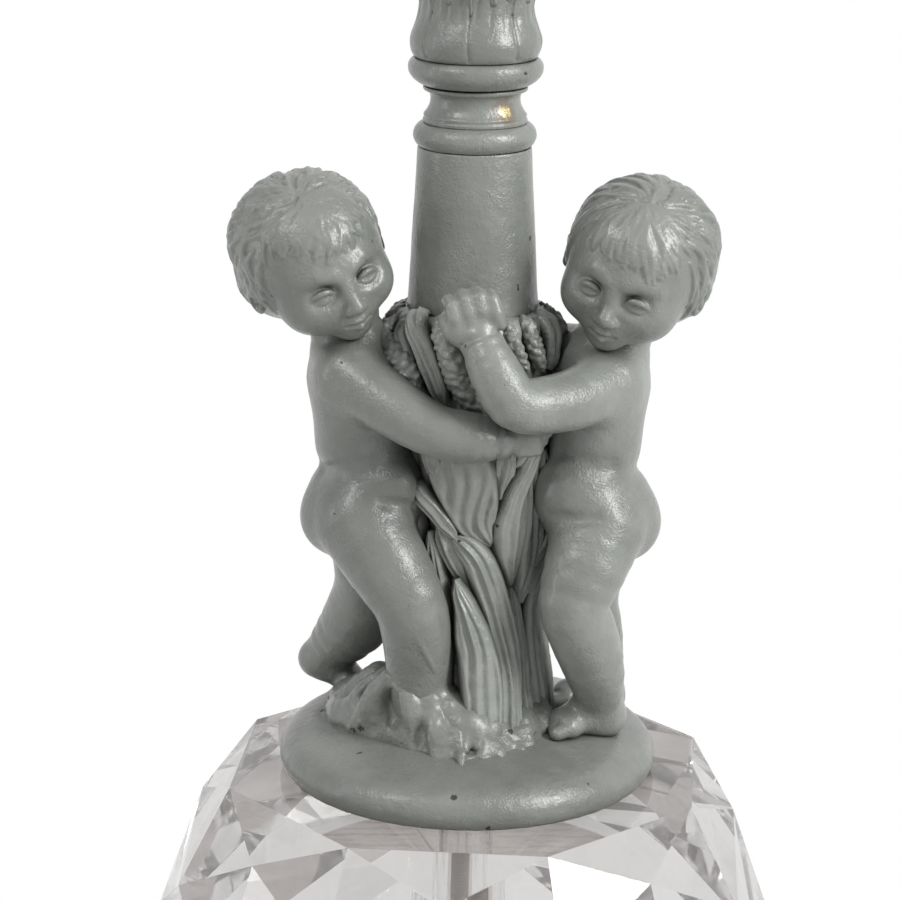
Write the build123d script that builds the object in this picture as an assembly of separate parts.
from build123d import *
from math import asin, cos, pi, radians, sin
import os

# Figural table lamp: two putti hugging a wheat sheaf on a domed disc, above a cut glass ball.
# Millimetres, +Z up, the viewer stands at -Y, the origin is under the middle of the foot.

# ---------------------------------------------------------------- hollow threaded pipe
pipe_radius = 5.1
pipe_bore_radius = 3.6
pipe_clearance = 0.35
thread_clearance = 0.1
pipe_below_nut = 5.0

# ---------------------------------------------------------------- foot and what is under it
felt_thickness = 1.5
felt_width = 12.0
felt_inset = 1.0
foot_radius = 74.0
foot_height = 40.0
foot_wall = 3.5
foot_plinth_height = 15.0
foot_waist_inset = 24.0
foot_top_overhang = 4.0
foot_top_thickness = 5.0
foot_rounding = 2.0
foot_step = 7.0
foot_cove_width = 15.0
foot_cove_rise = 5.0
foot_collar_height = 5.0
inlet_sleeve_inside = 2.5

# ---------------------------------------------------------------- nuts and washers on the pipe
nut_across_flats = 14.3
nut_thickness = 5.0
flat_washer_radius = 13.0
flat_washer_thickness = 1.6
lock_washer_radius = 9.2
lock_washer_thickness = 1.8
lock_washer_gap = 1.2

# ---------------------------------------------------------------- cord inlet in the foot (no cord)
inlet_height = 8.5
inlet_bore_radius = 3.5
inlet_body_radius = 5.2
inlet_flange_radius = 7.0
inlet_flange_thickness = 1.8
inlet_clearance = 0.15

# ---------------------------------------------------------------- cut glass ball, ring by ring
glass_half_height = 55.5
glass_table_radius = 63.0
glass_shoulder_radius = 69.0
glass_shoulder_height = 45.5
glass_belly_radius = 76.5
glass_belly_height = 30.5
glass_girdle_radius = 81.0
glass_girdle_height = 12.0
glass_sides = 8
glass_turn = -27.2
glass_bore_radius = 7.0
gasket_thickness = 0.8
gasket_radius = 44.0
lower_gasket_margin = 1.0
bush_flange_radius = 10.0
bush_length = 12.0
bush_clearance = 0.15

# ---------------------------------------------------------------- domed disc under the figures
disc_radius = 48.2
disc_edge_radius = 47.4
disc_rim_height = 3.2
disc_shoulder_radius = 45.0
disc_shoulder_height = 8.6
disc_dome_height = 15.0
disc_wall = 4.0
disc_boss_radius = 16.0

# ---------------------------------------------------------------- wheat sheaf, above the disc's seat
sheaf_waist_radius = 12.5
sheaf_waist_height = 50.0
sheaf_crown_radius = 20.0
sheaf_crown_height = 104.0
sheaf_top_height = 118.0
sheaf_top_radius = 17.8
sheaf_ground_radius = 19.0
sheaf_ground_height = 22.0
sheaf_root_share = 0.6
sheaf_spread_share = 0.42
sheaf_stem_share = 0.1
sheaf_swell_share = 0.55
ear_count = 14
ear_length = 10.5
ear_radius = 3.2
ear_tilt = 5.0
ear_row_high = 2.5
ear_row_low = -4.0
leaf_count = 9
leaf_root_radius = 2.4
leaf_tip_radius = 1.5
leaf_twist = 0.28
leaf_root_depth = 1.0
leaf_up_share = 0.88
leaf_up_drop = 14.0
leaf_down_share = 0.72
bundle_relief = 2.4

# ---------------------------------------------------------------- column and collar above the sheaf
column_foot_height = 112.0
column_foot_radius = 17.0
column_wall = 3.0
column_head_height = 160.3
column_head_radius = 13.9
column_web = 5.0
lower_ring_height = 6.7
lower_ring_radius = 15.2
lower_ring_end_radius = 13.6
spool_height = 7.2
spool_foot_radius = 12.7
spool_neck_radius = 10.9
spool_lip_radius = 12.6
spool_lip_height = 1.4
upper_ring_height = 7.8
upper_ring_radius = 16.4
upper_ring_foot_radius = 13.4
upper_ring_top_radius = 15.3

# ---------------------------------------------------------------- acanthus leaf cup
cup_height = 48.0
cup_foot_radius = 15.0
cup_bulge_radius = 16.2
cup_bulge_height = 3.4
cup_waist_radius = 13.8
cup_waist_height = 11.5
cup_mouth_radius = 21.0
cup_wall = 2.0
cup_web = 5.0
cup_leaf_count = 8
cup_leaf_width = 12.0
cup_leaf_thickness = 1.7
cup_leaf_curl = 5.0
cup_stem_flare = 1.2
cup_rim_height = 43.0
cup_lip = 1.0
cup_leaf_depth = 0.9
cup_washer_radius = 10.6

# ---------------------------------------------------------------- medium screw lamp socket with a turn knob
socket_hub_radius = 7.6
socket_hub_height = 9.0
socket_rise = 19.0
socket_cap_radius = 17.4
socket_cap_wall = 0.7
socket_skirt_height = 7.0
socket_step = 24.0
shell_fit = 0.1
shell_wall = 0.5
shell_height = 46.0
shell_bead_radius = 1.0
liner_gap = 0.3
liner_wall = 0.6
base_flange_height = 1.5
base_height = 22.0
base_radius = 14.6
screw_shell_bore_radius = 13.3
screw_shell_wall = 0.6
screw_shell_height = 23.0
screw_shell_lip_radius = 5.0
screw_shell_neck_radius = 11.0
screw_shell_neck_height = 3.6
contact_radius = 4.0
contact_thickness = 0.8
contact_rivet_radius = 1.8
contact_rise = 3.0
terminal_radius = 2.0
terminal_head_radius = 3.4
terminal_head_thickness = 1.6
terminal_length = 6.0
terminal_share = 0.3
terminal_head_clearance = 0.6
terminal_end_gap = 0.8
slot_width = 0.8
slot_depth = 0.5
set_screw_radius = 1.4
set_screw_length = 4.0
switch_height = 18.0
switch_shaft_radius = 1.6
switch_running_clearance = 0.08
switch_hole_clearance = 0.5
switch_cam_radius = 4.0
switch_cam_width = 4.0
switch_cam_start = 4.0
switch_cam_clearance = 0.4
switch_bore_overrun = 2.0
knob_radius = 5.6
knob_length = 12.0
knob_neck_radius = 3.2
knob_neck_length = 4.0
knob_gap = 0.8
knob_rib_count = 12
knob_rib_radius = 0.7

# limbs that start at the ball where the last one ended are this much thinner there
nested = 0.12

# ---------------------------------------------------------------- heights that follow from these
hole_radius = pipe_radius + pipe_clearance
thread_hole_radius = pipe_radius + thread_clearance
glass_bottom = foot_height + gasket_thickness
glass_middle = glass_bottom + glass_half_height
glass_top = glass_middle + glass_half_height
seat = glass_top + gasket_thickness
foot_plate_underside = foot_height - foot_top_thickness
foot_waist_radius = foot_radius - foot_waist_inset
foot_top_radius = foot_waist_radius + foot_top_overhang
pipe_bottom = (
    foot_plate_underside - flat_washer_thickness - lock_washer_thickness - nut_thickness - pipe_below_nut
)
lower_ring_foot = seat + column_head_height
spool_foot = lower_ring_foot + lower_ring_height
upper_ring_foot = spool_foot + spool_height
cup_foot = upper_ring_foot + upper_ring_height
cup_nut_seat = cup_foot + cup_web
socket_foot = cup_foot + socket_step
cap_ledge = socket_foot + socket_rise
pipe_top = socket_foot + socket_hub_height
cap_inner_radius = socket_cap_radius - socket_cap_wall
shell_outer_radius = cap_inner_radius - shell_fit
shell_inner_radius = shell_outer_radius - shell_wall
base_foot = cap_ledge + liner_gap
base_top = base_foot + base_height
base_flange_radius = shell_inner_radius - shell_fit
shell_foot = base_foot + base_flange_height
shell_top = shell_foot + shell_height
liner_outer_radius = shell_inner_radius - liner_gap
liner_inner_radius = liner_outer_radius - liner_wall
screw_shell_outer_radius = screw_shell_bore_radius + screw_shell_wall
switch_axis_height = base_foot + switch_height
terminal_axis_height = base_foot + base_height * terminal_share
knob_start = shell_outer_radius + knob_gap


# ================================================================ small helpers
def tube(outer, inner, low, high):
    """A ring or pipe standing on the height low and reaching high."""
    ring = Circle(outer) - Circle(inner)
    return extrude(Pos(0, 0, low) * ring, high - low)


def rod(radius, low, high):
    """An upright round bar."""
    return extrude(Pos(0, 0, low) * Circle(radius), high - low)


def turned(points, *smooth):
    """A turned piece: straight corners, with smooth stretches given as (first, last) point numbers."""
    edges = []
    number = 0
    spans = dict(smooth)
    while number < len(points) - 1:
        last = spans.get(number, number + 1)
        run = [(r, 0, z) for r, z in points[number:last + 1]]
        edges.append(Spline(*run) if last > number + 1 else Line(*run))
        number = last
    first_r, first_z = points[0]
    last_r, last_z = points[-1]
    edges.append(Line((last_r, 0, last_z), (first_r, 0, first_z)))
    profile = make_face(Wire(edges))
    return revolve(profile, Axis.Z, 360)


def ball(centre, radii, turn=(0, 0, 0)):
    """An egg or ball with its three half sizes, turned about its own centre."""
    return Location(centre, turn) * scale(Sphere(1), by=radii)


def egg(centre, along, half_length, radius):
    """An egg turned about its long axis."""
    along = Vector(*along)
    away = Vector(0, 0, 1) if abs(along.normalized().Z) < 0.9 else Vector(1, 0, 0)
    plane = Plane(origin=centre, x_dir=along, z_dir=along.cross(away))
    arc = EllipticalCenterArc((0, 0), half_length, radius, 0, arc_size=180)
    half = plane * make_face(Wire([arc, Line(arc @ 1, arc @ 0)]))
    return revolve(half, Axis(centre, along), 360)


def limb(start, end, start_radius, end_radius):
    """A tapered limb: a ball at each end and the cone that touches both."""
    start = Vector(*start)
    along = Vector(*end) - start
    length = along.length
    lean = asin((start_radius - end_radius) / length)
    touch = pi / 2 - lean
    away = Vector(0, 0, 1) if abs(along.normalized().Z) < 0.9 else Vector(1, 0, 0)
    plane = Plane(origin=start, x_dir=along, z_dir=along.cross(away))
    ends = ((0, start_radius, pi, touch), (length, end_radius, touch, 0))
    arcs = []
    for middle, radius, begin, finish in ends:
        angles = (begin, (begin + finish) / 2, finish)
        arcs.append(ThreePointArc(*[(middle + radius * cos(a), radius * sin(a)) for a in angles]))
    outline = [arcs[0], Line(arcs[0] @ 1, arcs[1] @ 0), arcs[1], Line(arcs[1] @ 1, arcs[0] @ 0)]
    return revolve(plane * make_face(Wire(outline)), Axis(start, along), 360)


def joined(pieces):
    """One solid from overlapping ones."""
    first, *rest = pieces
    return first.fuse(*rest) if rest else first


def hexagon(across_flats, low, high):
    """A hexagonal bar standing on the height low."""
    corner_radius = across_flats / 2 / cos(pi / 6)
    return extrude(Pos(0, 0, low) * RegularPolygon(corner_radius, 6), high - low)


def around(count, radius, height, start=0.0):
    """Points evenly spaced on a circle."""
    angles = [radians(start + 360.0 * step / count) for step in range(count)]
    return [(radius * cos(a), radius * sin(a), height) for a in angles]


# ================================================================ foot
def felt_pad():
    outer = foot_radius - felt_inset
    return tube(outer, outer - felt_width, 0, felt_thickness)


def foot_casting():
    """Round painted foot: plinth, cove and a flat seat for the glass, hollow from below."""
    plinth_top = felt_thickness + foot_plinth_height
    collar_low = foot_height - foot_collar_height
    outside = turned(
        [
            (0, felt_thickness),
            (foot_radius - foot_rounding, felt_thickness),
            (foot_radius, felt_thickness + foot_rounding),
            (foot_radius, plinth_top - foot_rounding),
            (foot_radius - foot_rounding, plinth_top),
            (foot_radius - foot_step, plinth_top + foot_rounding / 2),
            (foot_radius - foot_cove_width, plinth_top + foot_cove_rise),
            (foot_waist_radius + 1, collar_low - 4),
            (foot_waist_radius, collar_low - 1),
            (foot_top_radius - 1, collar_low),
            (foot_top_radius, foot_height - foot_collar_height / 2),
            (foot_top_radius - 1, foot_height),
            (0, foot_height),
        ],
        (5, 8),
        (9, 11),
    )
    hollow = turned(
        [
            (0, 0),
            (foot_radius - foot_wall, 0),
            (foot_radius - foot_wall, plinth_top - foot_wall),
            (foot_waist_radius - foot_wall, foot_plate_underside - foot_cove_rise),
            (foot_waist_radius - foot_wall, foot_plate_underside),
            (0, foot_plate_underside),
        ]
    )
    inlet_hole = along_inlet(inlet_body_radius + inlet_clearance)
    return outside - hollow - rod(hole_radius, 0, foot_height) - inlet_hole


def along_inlet(radius):
    """The round path of the cord's inlet, out through the back of the foot."""
    start = (0, foot_radius - foot_wall - 4, felt_thickness + inlet_height)
    return extrude(Plane(origin=start, z_dir=(0, 1, 0)) * Circle(radius), foot_wall + 8)


def inlet_bushing():
    """Plastic bushing that lines the cord's hole, with a flange inside and outside the wall."""
    middle = felt_thickness + inlet_height
    outside = Plane(origin=(0, foot_radius, middle), z_dir=(0, 1, 0))
    sleeve = extrude(outside * Circle(inlet_body_radius), -(foot_wall + inlet_sleeve_inside))
    flange = extrude(outside * Circle(inlet_flange_radius), inlet_flange_thickness)
    bore = extrude(outside * Circle(inlet_bore_radius), 2 * foot_wall + inlet_flange_thickness, both=True)
    return sleeve + flange - bore


def flat_washer(low):
    return tube(flat_washer_radius, hole_radius, low, low + flat_washer_thickness)


def cup_washer():
    """The smaller washer under the nut inside the leaf cup."""
    return tube(cup_washer_radius, hole_radius, cup_nut_seat, cup_nut_seat + flat_washer_thickness)


def hex_nut(low):
    high = low + nut_thickness
    return hexagon(nut_across_flats, low, high) - rod(thread_hole_radius, low, high)


def lock_washer(low):
    """A spring washer: a flat ring with one narrow slit."""
    ring = tube(lock_washer_radius, hole_radius, low, low + lock_washer_thickness)
    sizes = (lock_washer_radius + 1, lock_washer_gap, 3 * lock_washer_thickness)
    slit = Box(*sizes, align=(Align.MIN, Align.CENTER, Align.CENTER))
    return ring - Pos(0, 0, low) * slit


# ================================================================ glass
def glass_ball():
    """Cut glass ball: rings of corners, each turned half a side from the next, joined by flat facets."""
    half_side = 180.0 / glass_sides

    def ring(radius, height, turned_half):
        start = glass_turn + (half_side if turned_half else 0)
        return around(glass_sides, radius, height, start)

    facets = []
    girdles = []
    for sign in (1, -1):
        table = ring(glass_table_radius, sign * glass_half_height, False)
        shoulder = ring(glass_shoulder_radius, sign * glass_shoulder_height, True)
        belly = ring(glass_belly_radius, sign * glass_belly_height, False)
        girdle = ring(glass_girdle_radius, sign * glass_girdle_height, True)
        girdles.append(girdle)
        facets.append(table)
        for side in range(glass_sides):
            after = (side + 1) % glass_sides
            before = (side - 1) % glass_sides
            facets.append((table[side], table[after], shoulder[side]))
            facets.append((table[side], shoulder[before], belly[side]))
            facets.append((table[side], belly[side], shoulder[side]))
            facets.append((shoulder[side], belly[side], girdle[side]))
            facets.append((shoulder[side], girdle[side], belly[after]))
            facets.append((belly[side], girdle[before], girdle[side]))
    upper, lower = girdles
    for side in range(glass_sides):
        after = (side + 1) % glass_sides
        facets.append((upper[side], upper[after], lower[after], lower[side]))
    outlines = [Wire.make_polygon([Vector(*p) for p in facet], close=True) for facet in facets]
    faces = [Face(outline) for outline in outlines]
    gem = Solid(Shell(faces))
    bore = rod(glass_bore_radius, -glass_half_height, glass_half_height)
    return Pos(0, 0, glass_middle) * (gem - bore)


def gasket(radius, low):
    return tube(radius, bush_flange_radius + bush_clearance, low, low + gasket_thickness)


def bore_bush(flange_low, sleeve_low):
    """Plastic bush that centres the pipe in the glass: a thin flange and a sleeve in the bore."""
    flange = tube(bush_flange_radius, hole_radius, flange_low, flange_low + gasket_thickness)
    sleeve = tube(glass_bore_radius - bush_clearance, hole_radius, sleeve_low, sleeve_low + bush_length)
    return flange + sleeve


def threaded_pipe():
    return tube(pipe_radius, pipe_bore_radius, pipe_bottom, pipe_top)


# ================================================================ disc, sheaf and column
def domed_solid():
    """The disc without its hollows: a rounded rim, then a dome that rises as the square of the radius."""
    rise = disc_dome_height - disc_shoulder_height
    shares = [1.0, 0.8, 0.6, 0.4, 0.2, 0.0]
    dome = [(disc_shoulder_radius * share, disc_dome_height - rise * share**2) for share in shares]
    rim = [(disc_edge_radius, 0), (disc_radius, disc_rim_height)]
    points = [(0, 0), *rim, *dome]
    return turned(points, (1, 3), (3, len(points) - 1))


def figure_disc():
    """Domed casting that the figures stand on, hollow from below around a boss for the pipe."""
    outside = domed_solid()
    hollow_height = disc_shoulder_height - disc_wall
    hollow = tube(disc_shoulder_radius - disc_wall - 1.5, disc_boss_radius, 0, hollow_height)
    return outside - hollow - rod(hole_radius, 0, disc_dome_height)


def sheaf_core(grow=0.0):
    """The bundle's own shape: wide at the ground, drawn in at the tie and full at the ears."""
    waist = sheaf_waist_radius + grow
    crown = sheaf_crown_radius + grow
    flare = crown - waist
    return turned([
        (0, 2),
        (sheaf_ground_radius + grow, 2),
        (sheaf_ground_radius + grow, sheaf_ground_height * sheaf_root_share),
        (waist + flare * sheaf_spread_share, sheaf_ground_height),
        (waist + flare * sheaf_stem_share, (sheaf_ground_height + sheaf_waist_height) / 2),
        (waist, sheaf_waist_height),
        (waist + flare * sheaf_swell_share, (sheaf_waist_height + sheaf_crown_height) / 2),
        (crown, sheaf_crown_height),
        (sheaf_top_radius + grow, sheaf_top_height),
        (0, sheaf_top_height),
    ], (2, 8))


def wheat_ears():
    """Ears of wheat leaning outwards all round the top of the sheaf."""
    ears = []
    reach = sheaf_crown_radius - ear_radius / 2
    lean = radians(ear_tilt)
    for step in range(ear_count):
        angle = 2 * pi * (step + 0.5) / ear_count
        height = sheaf_crown_height + (ear_row_high if step % 2 else ear_row_low)
        centre = (reach * cos(angle), reach * sin(angle), height)
        along = (sin(lean) * cos(angle), sin(lean) * sin(angle), cos(lean))
        ears.append(egg(centre, along, ear_length, ear_radius))
    return ears


def wheat_leaves():
    """Long leaves from the tie, one set up to the ears and one set down to the ground."""
    leaves = []
    root_reach = sheaf_waist_radius - leaf_root_depth
    up_reach = sheaf_crown_radius * leaf_up_share
    down_reach = sheaf_ground_radius * leaf_down_share
    for step in range(leaf_count):
        angle = 2 * pi * (step + 0.25) / leaf_count
        turn = angle + leaf_twist
        root = (root_reach * cos(angle), root_reach * sin(angle), sheaf_waist_height)
        up = (up_reach * cos(turn), up_reach * sin(turn), sheaf_crown_height - leaf_up_drop)
        down = (down_reach * cos(turn), down_reach * sin(turn), sheaf_ground_height + 1)
        leaves.append(limb(root, up, leaf_root_radius, leaf_tip_radius))
        leaves.append(limb(root, down, leaf_root_radius - nested, leaf_tip_radius))
    return leaves


def ground_tufts():
    """Rough tufts of ground round the sheaf: centre, half height, half width."""
    spots = [
        ((-24, -9, 13), 10.5, 9.5),
        ((-18.5, -12.5, 16), 11.0, 7.0),
        ((-31, -1, 12), 6.5, 7.5),
        ((-12, -22, 12), 8.5, 9.0),
        ((-1, -26.5, 11), 7.5, 9.0),
        ((10, -22, 11), 7.0, 8.5),
        ((12, -15, 13), 9.0, 8.0),
        ((-17, 9, 12), 6.0, 8.0),
    ]
    return [egg(centre, (0, 0, 1), tall, wide) for centre, tall, wide in spots]


def whole_column():
    return loft([
        Pos(0, 0, column_foot_height) * Circle(column_foot_radius),
        Pos(0, 0, column_head_height) * Circle(column_head_radius),
    ])


def tapered_column():
    """Smooth tapered tube with a web at its head that the pipe passes through."""
    hollow_top = column_head_height - column_web
    hollow = loft([
        Pos(0, 0, column_foot_height) * Circle(column_foot_radius - column_wall),
        Pos(0, 0, hollow_top) * Circle(column_head_radius - column_wall),
    ])
    return whole_column() - hollow - rod(hole_radius, column_foot_height, column_head_height)


def wheat_sheaf(ground):
    solid = joined([sheaf_core(), *wheat_ears(), *wheat_leaves(), *ground_tufts()])
    passage = rod(hole_radius, 0, sheaf_top_height)
    return solid - whole_column() - passage - ground


# ================================================================ putti
# Joints in millimetres above the disc's seat, the viewer at -Y. The near side is the one in front.
left_putto_joints = {
    "head": (-38.5, -9, 134.5),
    "crown": (-40.5, -6, 136),
    "nape": (-45, 1, 127.5),
    "cheek": (-33, -13.5, 130),
    "ear": (-51.5, -14, 127.5),
    "neck": (-31.5, -6, 116),
    "chest": (-28.5, -5, 101.5),
    "waist": (-27.5, -4, 87),
    "hips": (-28, -3, 69.5),
    "belly": (-22.5, -7, 74.5),
    "near_shoulder": (-30, -14, 106.5),
    "near_elbow": (-9.5, -27.5, 95.5),
    "near_wrist": (5, -27, 93.5),
    "near_hand": (13, -23.5, 92),
    "near_fist": (10, -24, 92.5),
    "far_shoulder": (-28, 9, 105),
    "far_elbow": (-11, 25.5, 93),
    "far_wrist": (3, 25.5, 89),
    "far_hand": (11, 22, 88),
    "near_hip": (-27, -12, 68),
    "near_knee": (-15, -21.5, 49.5),
    "near_calf": (-12, -22.5, 39),
    "near_ankle": (-9, -21.5, 25),
    "near_heel": (-7.5, -19.5, 18.5),
    "near_toes": (3.5, -29.5, 16.5),
    "far_hip": (-26, 6.5, 63),
    "far_knee": (-25.5, 13, 42),
    "far_calf": (-29.5, 17, 32),
    "far_ankle": (-36, 22, 21.5),
    "far_heel": (-39.5, 23, 18.5),
    "far_toes": (-31, 20.5, 13.5),
}
right_putto_joints = {
    "head": (39.5, -9, 133.5),
    "crown": (41, -6, 135),
    "nape": (46, 1, 126.5),
    "cheek": (35, -13.5, 129),
    "ear": (53.5, -12, 127),
    "neck": (36, -5, 115.5),
    "chest": (32, -5, 101),
    "waist": (31, -4, 87),
    "hips": (33, -3, 68.5),
    "belly": (27, -8, 75),
    "near_shoulder": (33, -14, 104),
    "near_elbow": (12.5, -33.5, 102),
    "near_wrist": (3.5, -28, 117),
    "near_hand": (-0.5, -24.5, 124.5),
    "near_fist": (-1.5, -24.5, 126),
    "far_shoulder": (31, 9, 105),
    "far_elbow": (14, 26, 104),
    "far_wrist": (2, 25.5, 108),
    "far_hand": (-5, 23.5, 112),
    "near_hip": (32, -12, 67),
    "near_knee": (25.5, -21, 49),
    "near_calf": (31, -17, 36),
    "near_ankle": (33.5, -9.5, 20),
    "near_heel": (34.5, -8, 16),
    "near_toes": (21.5, -14, 16.5),
    "far_hip": (33.5, 5, 64),
    "far_knee": (30, 7, 42),
    "far_calf": (32, 8, 32),
    "far_ankle": (35, 9, 18),
    "far_heel": (35.5, 9, 14.5),
    "far_toes": (24, 8, 15.5),
}
limb_radii = {
    "neck": 9.0,
    "shoulder": 8.2,
    "elbow": 6.6,
    "wrist": 5.4,
    "hand": 4.9,
    "hip": 11.5,
    "knee": 8.4,
    "calf": 8.8,
    "ankle": 5.8,
    "heel": 5.2,
    "toes": 3.9,
}
head_radii = (17.6, 17.4, 18.8)
crown_radii = (18.0, 18.0, 17.8)
nape_radii = (13.0, 13.5, 12.5)
cheek_radii = (13.0, 12.0, 14.0)
ear_radii = (2.6, 3.4, 4.6)
chest_radii = (12.0, 15.5, 15.5)
waist_radii = (11.5, 14.5, 14.0)
belly_radii = (12.0, 13.0, 13.5)
hips_radii = (13.5, 16.5, 14.5)
fist_radii = (8.4, 5.5, 6.3)
open_hand_radii = (7.0, 3.6, 5.6)


def limb_chain(joints, side, names):
    """Limbs from joint to joint. Each starts a touch inside the ball that the one before ended with."""
    pieces = []
    for first, second in zip(names, names[1:]):
        start = joints[f"{side}_{first}"]
        end = joints[f"{side}_{second}"]
        pieces.append(limb(start, end, limb_radii[first] - nested, limb_radii[second]))
    return pieces


def putto(joints, near_hand_radii):
    """A plump child figure: head, torso and four limbs in one casting."""
    pieces = [
        ball(joints["head"], head_radii),
        ball(joints["crown"], crown_radii),
        ball(joints["nape"], nape_radii),
        ball(joints["cheek"], cheek_radii),
        ball(joints["ear"], ear_radii),
        limb(joints["neck"], joints["head"], limb_radii["neck"], limb_radii["neck"] - 1),
        limb(joints["chest"], joints["neck"], limb_radii["neck"] + 3, limb_radii["neck"] - nested),
        ball(joints["chest"], chest_radii),
        ball(joints["waist"], waist_radii),
        ball(joints["belly"], belly_radii),
        ball(joints["hips"], hips_radii),
        ball(joints["near_fist"], near_hand_radii),
    ]
    for side in ("near", "far"):
        pieces += limb_chain(joints, side, ["shoulder", "elbow", "wrist", "hand"])
        pieces += limb_chain(joints, side, ["hip", "knee", "calf", "ankle", "heel", "toes"])
    return joined(pieces)


# ================================================================ collar above the column
def lower_bead_ring():
    top = lower_ring_height
    return turned([
        (hole_radius, 0),
        (lower_ring_end_radius, 0),
        (lower_ring_end_radius + 1.1, top * 0.18),
        (lower_ring_radius, top * 0.5),
        (lower_ring_end_radius + 0.8, top * 0.85),
        (spool_foot_radius, top),
        (hole_radius, top),
    ], (1, 5))


def cove_spool():
    lip_low = spool_height - spool_lip_height
    return turned([
        (hole_radius, 0),
        (spool_foot_radius, 0),
        (spool_foot_radius, 0.9),
        (spool_foot_radius - 0.8, 1.7),
        (spool_neck_radius, lip_low * 0.72),
        (spool_lip_radius - 0.9, lip_low),
        (spool_lip_radius, lip_low + 0.2),
        (spool_lip_radius, spool_height),
        (hole_radius, spool_height),
    ], (3, 5))


def upper_bead_ring():
    top = upper_ring_height
    return turned([
        (hole_radius, 0),
        (upper_ring_foot_radius, 0),
        (upper_ring_foot_radius + 1.9, top * 0.24),
        (upper_ring_radius, top * 0.62),
        (upper_ring_radius - 0.35, top * 0.86),
        (upper_ring_top_radius, top),
        (hole_radius, top),
    ], (1, 5))


def leaf_cup():
    """Cup with a bulging foot, a narrow waist and a flaring mouth, dressed with acanthus leaves."""
    outside_points = [
        (0, 0),
        (cup_foot_radius, 0),
        (cup_bulge_radius, cup_bulge_height),
        (cup_waist_radius, cup_waist_height),
        (cup_waist_radius + cup_stem_flare, cup_height / 2),
        (cup_mouth_radius, cup_rim_height - cup_lip),
        (cup_mouth_radius, cup_rim_height),
        (0, cup_rim_height),
    ]
    outside = turned(outside_points, (1, 5))
    inner_waist = cup_waist_radius - cup_wall
    inside = turned([
        (0, cup_web),
        (inner_waist, cup_web),
        (inner_waist, cup_waist_height),
        (inner_waist + cup_stem_flare, cup_height / 2),
        (cup_mouth_radius - cup_wall, cup_rim_height - cup_lip),
        (cup_mouth_radius - cup_wall, cup_height),
        (0, cup_height),
    ], (2, 4))
    leaf = acanthus_leaf()
    leaves = [Rot(0, 0, 360.0 * step / cup_leaf_count) * leaf for step in range(cup_leaf_count)]
    cup = outside - inside
    return joined([cup, *leaves]) - rod(hole_radius, 0, cup_web)


def acanthus_leaf():
    """One leaf: a tongue that lies on the cup and curls outwards at its tip.

    Each station is its reach, its height, its share of the full size and its lean in degrees.
    """
    stations = [
        (cup_waist_radius - cup_leaf_depth, cup_waist_height + 1.5, 0.55, 0),
        (cup_waist_radius + 0.2, cup_height / 2, 0.8, 5),
        (cup_mouth_radius - 1.4, cup_height - 8, 1.0, 28),
        (cup_mouth_radius + cup_leaf_curl * 0.5, cup_height - 2, 0.8, 45),
        (cup_mouth_radius + cup_leaf_curl, cup_height, 0.3, 75),
    ]
    sections = []
    for reach, height, share, lean in stations:
        place = Location((reach, 0, height), (0, lean, 0))
        sections.append(place * Ellipse(cup_leaf_thickness * share * 0.8, cup_leaf_width * share / 2))
    return loft(sections)


# ================================================================ socket
def socket_cap():
    """Brass cap: threaded hub, dome and skirt, with a ledge inside for the socket's base."""
    dome_low = socket_hub_height
    wall = socket_cap_wall
    ledge = socket_rise
    rim = socket_rise + socket_skirt_height
    outside = turned([
        (0, 0),
        (socket_hub_radius, 0),
        (socket_hub_radius, dome_low),
        (socket_cap_radius * 0.72, dome_low + 2.4),
        (socket_cap_radius * 0.93, dome_low + 5.6),
        (socket_cap_radius, ledge),
        (socket_cap_radius, rim),
        (0, rim),
    ], (2, 5))
    inside = turned([
        (0, dome_low + wall),
        (socket_hub_radius, dome_low + wall + 0.6),
        (socket_cap_radius * 0.93 - 2 * wall, dome_low + 6.6),
        (socket_cap_radius - 2.6, ledge),
        (cap_inner_radius, ledge),
        (cap_inner_radius, rim),
        (0, rim),
    ])
    hole = rod(thread_hole_radius, 0, dome_low + 3)
    screw_hole = along_set_screw(set_screw_radius + thread_clearance, socket_hub_height / 2)
    return outside - inside - hole - screw_hole


def along_set_screw(radius, height):
    start = (0, -thread_hole_radius, height)
    return extrude(Plane(origin=start, z_dir=(0, -1, 0)) * Circle(radius), set_screw_length)


def cap_set_screw():
    """Slotted grub screw in the hub that keeps the cap from unscrewing."""
    screw = along_set_screw(set_screw_radius, socket_hub_height / 2)
    head_face = -(thread_hole_radius + set_screw_length)
    slot = Pos(0, head_face, socket_hub_height / 2) * Box(3 * set_screw_radius, slot_depth * 2, slot_width)
    return screw - slot


def along_switch(radius, start, end):
    plane = Plane(origin=(start, 0, switch_axis_height), z_dir=(1, 0, 0))
    return extrude(plane * Circle(radius), end - start)


def socket_shell():
    """Brass outer shell with a rolled rim and a hole for the switch shaft."""
    wall = tube(shell_outer_radius, shell_inner_radius, shell_foot, shell_top)
    rim = Pos(0, 0, shell_top) * Torus(shell_outer_radius - shell_wall / 2, shell_bead_radius)
    hole = along_switch(switch_shaft_radius + switch_hole_clearance, 0, shell_outer_radius + 2)
    return wall + rim - hole


def shell_liner():
    """Insulating paper sleeve between the shell and the live parts."""
    sleeve = tube(liner_outer_radius, liner_inner_radius, shell_foot, shell_top - 1.5)
    return sleeve - along_switch(switch_shaft_radius + switch_hole_clearance, 0, liner_outer_radius + 2)


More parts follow.
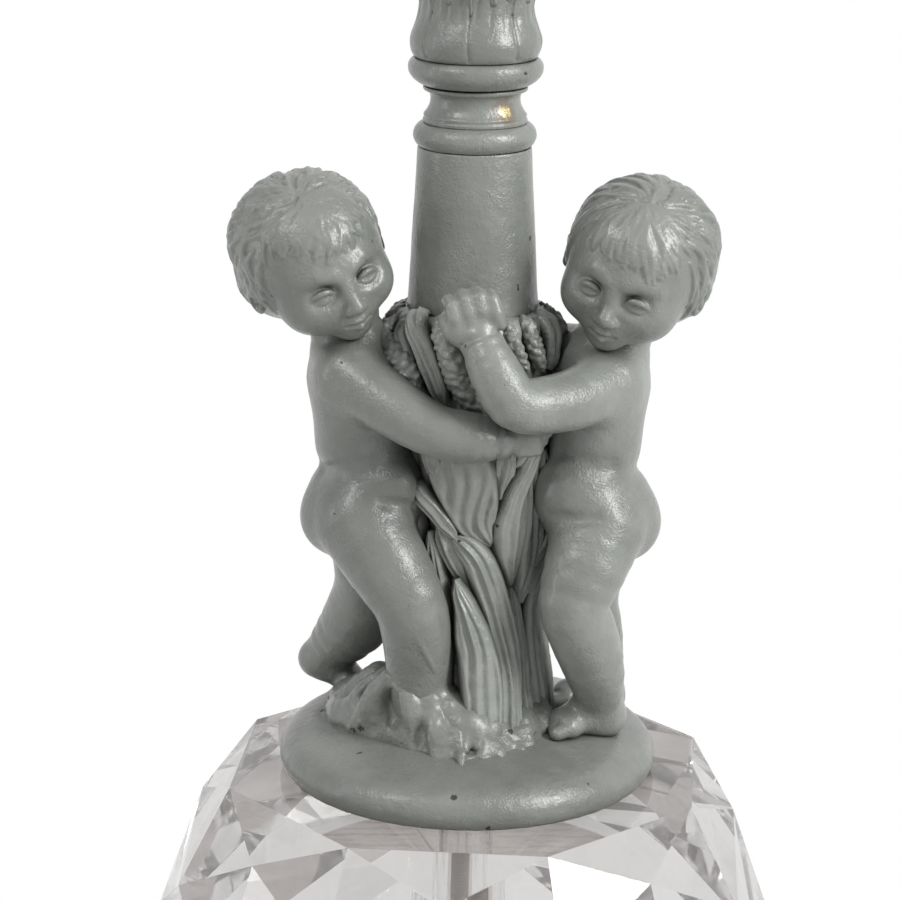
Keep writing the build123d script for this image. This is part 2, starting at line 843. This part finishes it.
def socket_base():
    """Moulded body that carries the contacts and the switch."""
    body = rod(base_radius, base_foot, base_top)
    flange = rod(base_flange_radius, base_foot, shell_foot)
    cam_low = switch_cam_start - switch_cam_clearance
    cam_high = switch_cam_start + switch_cam_width + switch_cam_clearance
    cam_room = along_switch(switch_cam_radius + switch_cam_clearance, cam_low, cam_high)
    bore_radius = switch_shaft_radius + switch_running_clearance
    shaft_bore = along_switch(bore_radius, switch_cam_start - switch_bore_overrun, shell_outer_radius)
    solid = body + flange - cam_room - shaft_bore
    for side in (1, -1):
        solid -= terminal_room(side)
    return solid


def terminal_room(side):
    plane = Plane(origin=(0, side * base_radius, terminal_axis_height), z_dir=(0, side, 0))
    head_room = terminal_head_radius + terminal_head_clearance
    head = extrude(plane * Circle(head_room), 2 * terminal_head_thickness, both=True)
    depth = terminal_head_thickness + terminal_length + terminal_end_gap
    shank = extrude(plane * Circle(terminal_radius + thread_clearance), -depth)
    return head + shank


def terminal_screws():
    """Two screws that clamp the leads, one on each side of the base."""
    screws = []
    for side in (1, -1):
        floor = base_radius - 2 * terminal_head_thickness
        plane = Plane(origin=(0, side * floor, terminal_axis_height), z_dir=(0, side, 0))
        head = extrude(plane * Circle(terminal_head_radius), terminal_head_thickness)
        shank = extrude(plane * Circle(terminal_radius), -(terminal_length - terminal_head_thickness))
        head_face = side * (floor + terminal_head_thickness)
        cutter = Box(2 * terminal_head_radius, slot_depth * 2, slot_width)
        slot = Pos(0, head_face, terminal_axis_height) * cutter
        screws.append(head + shank - slot)
    return Compound(children=[screw.solid() for screw in screws])


def screw_shell():
    """Thin stepped cup that takes the bulb's screw base, with a narrower neck round the contact."""
    ledge = base_top + screw_shell_neck_height
    ledge_foot = ledge - screw_shell_wall
    neck_outer_radius = screw_shell_neck_radius + screw_shell_wall
    wall = tube(screw_shell_outer_radius, screw_shell_bore_radius, ledge_foot, base_top + screw_shell_height)
    step = tube(screw_shell_outer_radius, screw_shell_neck_radius, ledge_foot, ledge)
    neck = tube(neck_outer_radius, screw_shell_neck_radius, base_top, ledge)
    floor = tube(neck_outer_radius, screw_shell_lip_radius, base_top, base_top + screw_shell_wall)
    return wall + step + neck + floor


def centre_contact():
    """Bent brass tongue with a rivet, under the bulb's tip."""
    disc = rod(contact_radius, base_top, base_top + contact_thickness)
    rivet = rod(contact_rivet_radius, base_top, base_top + contact_rise)
    return disc + rivet


def switch_shaft():
    shaft = along_switch(switch_shaft_radius, switch_cam_start, knob_start + knob_neck_length)
    cam = along_switch(switch_cam_radius, switch_cam_start, switch_cam_start + switch_cam_width)
    flat = Pos(switch_cam_start, 0, switch_axis_height + switch_cam_radius) * Box(
        2 * switch_cam_width, 3 * switch_cam_radius, switch_cam_radius * 0.8,
        align=(Align.CENTER, Align.CENTER, Align.CENTER))
    return shaft + (cam - flat)


def switch_knob():
    """Moulded turn knob: a neck and a ribbed grip."""
    neck_end = knob_start + knob_neck_length
    end = neck_end + knob_length - 2
    plane = Plane(origin=(knob_start, 0, switch_axis_height), x_dir=(0, 1, 0), z_dir=(1, 0, 0))
    neck = along_switch(knob_neck_radius, knob_start, neck_end)
    grip = along_switch(knob_radius, neck_end, end)
    grip = chamfer(grip.edges().filter_by(GeomType.CIRCLE), 0.9)
    for y, z, _ in around(knob_rib_count, knob_radius + knob_rib_radius * 0.35, 0):
        groove = plane * Pos(y, z, 0) * Circle(knob_rib_radius)
        grip -= extrude(groove, end - knob_start + 1)
    hole = along_switch(switch_shaft_radius, knob_start, neck_end)
    return neck + grip - hole


# ================================================================ all pieces by name
def build():
    up = Pos(0, 0, seat)
    ground = domed_solid()
    bundle_room = joined([sheaf_core(bundle_relief), *ground_tufts()])
    sheaf = wheat_sheaf(ground)
    right = putto(right_putto_joints, fist_radii) - bundle_room - whole_column() - ground
    left = putto(left_putto_joints, open_hand_radii) - bundle_room - whole_column() - ground - right
    washer_low = foot_plate_underside - flat_washer_thickness
    spring_low = washer_low - lock_washer_thickness
    socket_place = Pos(0, 0, socket_foot)
    return {
        "felt_pad": felt_pad(),
        "foot_casting": foot_casting(),
        "inlet_bushing": inlet_bushing(),
        "foot_nut": hex_nut(spring_low - nut_thickness),
        "foot_lock_washer": lock_washer(spring_low),
        "foot_flat_washer": flat_washer(washer_low),
        "lower_gasket": gasket(foot_top_radius - lower_gasket_margin, foot_height),
        "lower_bore_bush": bore_bush(foot_height, glass_bottom),
        "glass_ball": glass_ball(),
        "upper_bore_bush": bore_bush(glass_top, glass_top - bush_length),
        "upper_gasket": gasket(gasket_radius, glass_top),
        "threaded_pipe": threaded_pipe(),
        "figure_disc": up * figure_disc(),
        "wheat_sheaf": up * sheaf,
        "left_putto": up * left,
        "right_putto": up * right,
        "tapered_column": up * tapered_column(),
        "lower_bead_ring": Pos(0, 0, lower_ring_foot) * lower_bead_ring(),
        "cove_spool": Pos(0, 0, spool_foot) * cove_spool(),
        "upper_bead_ring": Pos(0, 0, upper_ring_foot) * upper_bead_ring(),
        "leaf_cup": Pos(0, 0, cup_foot) * leaf_cup(),
        "cup_washer": cup_washer(),
        "cup_nut": hex_nut(cup_nut_seat + flat_washer_thickness),
        "socket_cap": socket_place * socket_cap(),
        "cap_set_screw": socket_place * cap_set_screw(),
        "socket_base": socket_base(),
        "socket_shell": socket_shell(),
        "shell_liner": shell_liner(),
        "screw_shell": screw_shell(),
        "centre_contact": centre_contact(),
        "terminal_screws": terminal_screws(),
        "switch_shaft": switch_shaft(),
        "switch_knob": switch_knob(),
    }


os.makedirs("parts", exist_ok=True)
for name, piece in build().items():
    solids = piece.solids()
    whole = solids[0] if len(solids) == 1 else Compound(children=solids)
    export_step(whole, f"parts/{name}.step")
    print(name, len(solids), round(whole.volume, 1))
